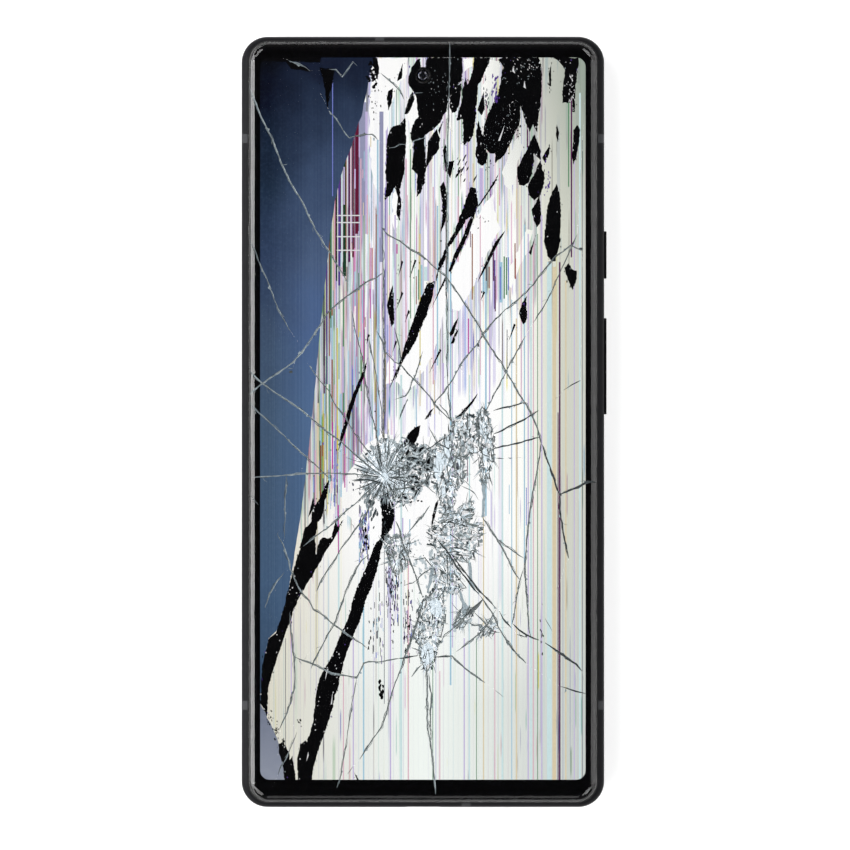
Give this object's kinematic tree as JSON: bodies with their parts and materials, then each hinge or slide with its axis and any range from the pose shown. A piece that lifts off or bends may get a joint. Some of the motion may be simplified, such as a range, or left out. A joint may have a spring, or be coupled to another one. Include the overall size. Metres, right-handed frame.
{
  "type": "shattered screen phone",
  "caption": "Slab smartphone with a shattered curved cover glass and bleeding display, metal rails, two side keys, a SIM tray and a camera island.",
  "frame": {"origin": "centre of the phone's outline, on the plane of the camera island's outer face, which is its lowest face", "axes": "+Y to the phone's top end, +X to the side with the keys, +Z out of the screen"},
  "size_m": [0.0777, 0.164, 0.0105],
  "materials": {
    "cover_glass": "gloss, cracked",
    "display": "lit, with bleeds and lines",
    "foam": "matt",
    "flex_amber": "satin",
    "lens_black": "gloss",
    "board_black": "satin",
    "gasket": "matt",
    "rail": "anodised black, polished",
    "antenna_plastic": "satin",
    "rear_glass": "gloss glass, opaque black coat",
    "bezel": "anodised black, satin",
    "camera_window": "gloss glass, smoked",
    "flash_lens": "gloss",
    "board_green": "satin",
    "shield_steel": "satin",
    "inner_plastic": "matt",
    "battery_wrap": "satin",
    "strip_white": "matt",
    "coil_copper": "satin",
    "mesh_steel": "matt",
    "mic_gold": "satin",
    "screw_steel": "satin"
  },
  "bodies": {
    "phone": {"cover_glass": "cover_glass", "display_panel": "display", "display_foam": "foam", "display_flex": "flex_amber", "front_camera": "lens_black", "fingerprint_sensor": "board_black", "front_gasket": "gasket", "frame": "rail", "antenna_bands": "antenna_plastic", "rear_gasket": "gasket", "rear_glass": "rear_glass", "camera_bezel": "bezel", "camera_window": "camera_window", "main_camera": "lens_black", "wide_camera": "lens_black", "zoom_camera": "lens_black", "flash": "flash_lens", "main_board": "board_green", "shield_cans": "shield_steel", "sim_socket": "shield_steel", "board_cover": "inner_plastic", "battery": "battery_wrap", "battery_strips": "strip_white", "battery_flex": "flex_amber", "main_flex": "flex_amber", "charging_coil": "coil_copper", "earpiece": "inner_plastic", "lower_board": "board_green", "usb_shell": "shield_steel", "usb_tongue": "inner_plastic", "loudspeaker": "inner_plastic", "speaker_mesh": "mesh_steel", "vibration_motor": "shield_steel", "microphones": "mic_gold", "lower_cover": "inner_plastic", "button_flex": "flex_amber", "screws": "screw_steel"},
    "power": {"power_button": "rail"},
    "volume": {"volume_key": "rail"},
    "tray": {"sim_tray": "rail"}
  },
  "joints": [
    {"name": "power_press", "type": "slide", "parent": "phone", "child": "power", "axis": [-1, 0, 0], "range_m": [0, 0.0003], "stiffness_N_per_m": 6000, "springref_m": -0.00005},
    {"name": "volume_rock", "type": "hinge", "parent": "phone", "child": "volume", "pos_m": [0.0368, 0.01185, 0.00605], "axis": [0, 0, 1], "range_deg": [-1.2, 1.2], "stiffness_Nm_per_rad": 0.7},
    {"name": "tray_slide", "type": "slide", "parent": "phone", "child": "tray", "axis": [-1, 0, 0], "range_m": [0, 0.0155]}
  ]
}
